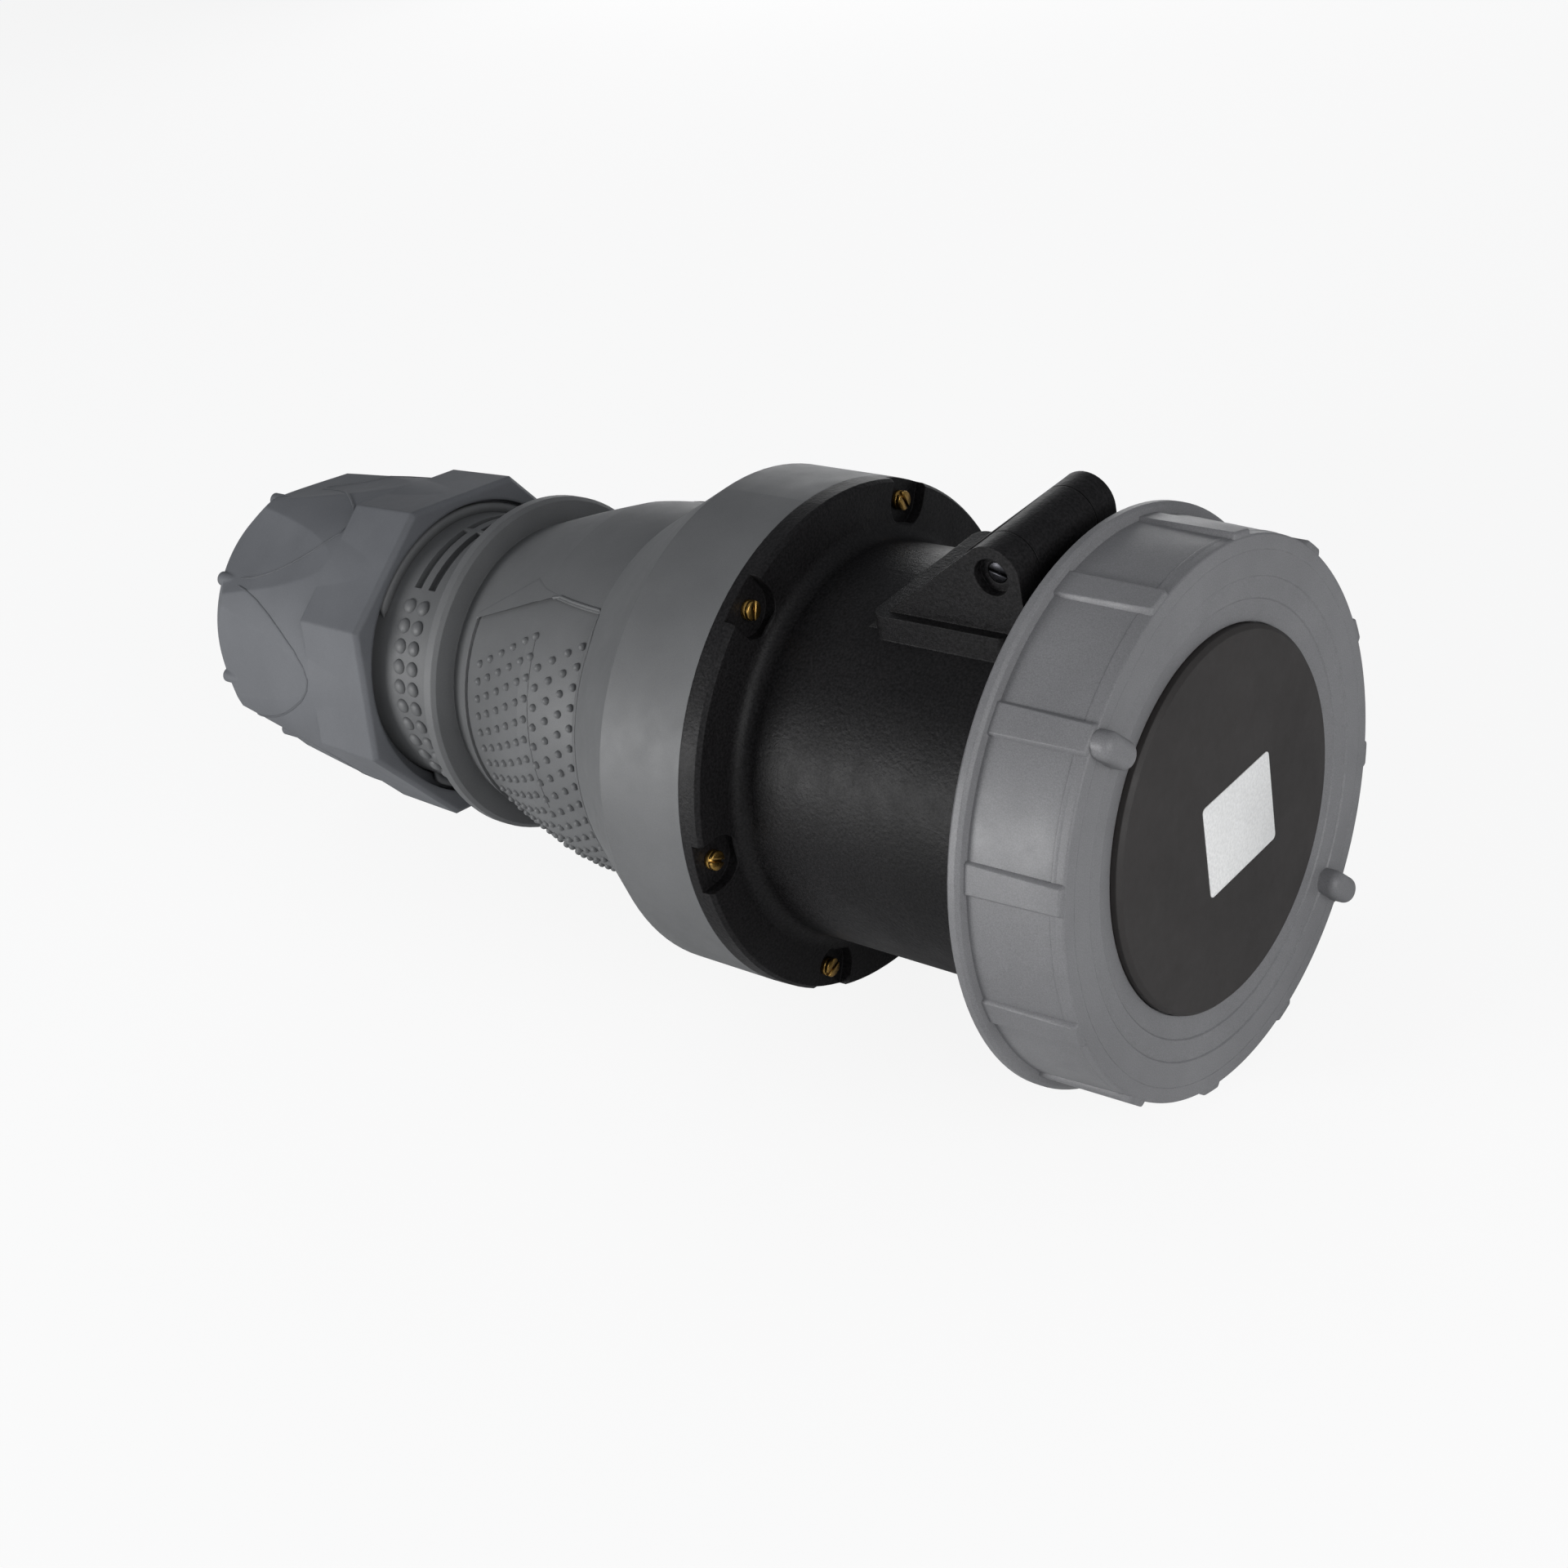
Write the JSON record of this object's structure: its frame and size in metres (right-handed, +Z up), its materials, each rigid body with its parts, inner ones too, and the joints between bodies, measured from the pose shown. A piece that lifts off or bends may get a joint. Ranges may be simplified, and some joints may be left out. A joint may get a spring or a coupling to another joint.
{
  "type": "pin and sleeve connector",
  "caption": "Five pole pin and sleeve power coupler with a sprung hinged lid, a turning locking ring and a screwed cable gland.",
  "frame": {"origin": "centre of the cable gland's mouth, on the connector's axis", "axes": "+X along the axis from the cable end to the lid, +Z up through the lid hinge, +Y to the other side of the hinge pin"},
  "size_m": [0.3242, 0.136, 0.1395],
  "materials": {
    "grey_nut": "moulded polyamide, fine matte grain",
    "grey_housing": "moulded polyamide, satin",
    "grey_ring": "moulded polyamide, fine spark grain",
    "black_housing": "moulded polyamide, satin fine grain",
    "black_lid": "moulded polyamide, fine matte grain",
    "carrier_plastic": "glass filled polyamide, matte",
    "seal_rubber": "matte elastomer",
    "brass_parts": "turned brass",
    "steel_parts": "turned steel"
  },
  "bodies": {
    "housing": {"rear_housing": "grey_housing", "front_housing": "black_housing", "flange_gasket": "seal_rubber", "flange_screws": "brass_parts", "contact_carrier": "carrier_plastic", "carrier_base": "carrier_plastic", "contact_pe": "brass_parts", "contact_l1": "brass_parts", "contact_l2": "brass_parts", "contact_l3": "brass_parts", "contact_n": "brass_parts", "terminal_screws": "steel_parts", "carrier_screws": "steel_parts", "hinge_pin": "steel_parts", "gland_seal": "seal_rubber"},
    "thrust": {"thrust_ring": "carrier_plastic"},
    "nut": {"gland_nut": "grey_nut"},
    "lid": {"lid": "black_lid", "lid_gasket": "seal_rubber", "lid_cap": "black_lid", "lid_cap_screws": "steel_parts", "hinge_spring": "steel_parts"},
    "ring": {"locking_ring": "grey_ring"}
  },
  "joints": [
    {"name": "lid_hinge", "type": "hinge", "parent": "housing", "child": "lid", "pos_m": [0.2802, 0, 0.0642], "axis": [0, -1, 0], "range_deg": [0, 120], "stiffness_Nm_per_rad": 0.08, "springref_deg": -91.67},
    {"name": "ring_turn", "type": "hinge", "parent": "lid", "child": "ring", "pos_m": [0.3, 0, 0], "axis": [-1, 0, 0], "range_deg": [0, 30]},
    {"name": "thrust_ring_slide", "type": "slide", "parent": "housing", "child": "thrust", "axis": [-1, 0, 0], "range_m": [0, 0.008]},
    {"name": "gland_nut_turn", "type": "hinge", "parent": "thrust", "child": "nut", "pos_m": [0, 0, 0], "axis": [-1, 0, 0], "range_deg": [0, 720]}
  ],
  "couplings": [
    {"joint": "thrust_ring_slide", "follows": "gland_nut_turn", "m_per_rad": 0.0006366}
  ]
}
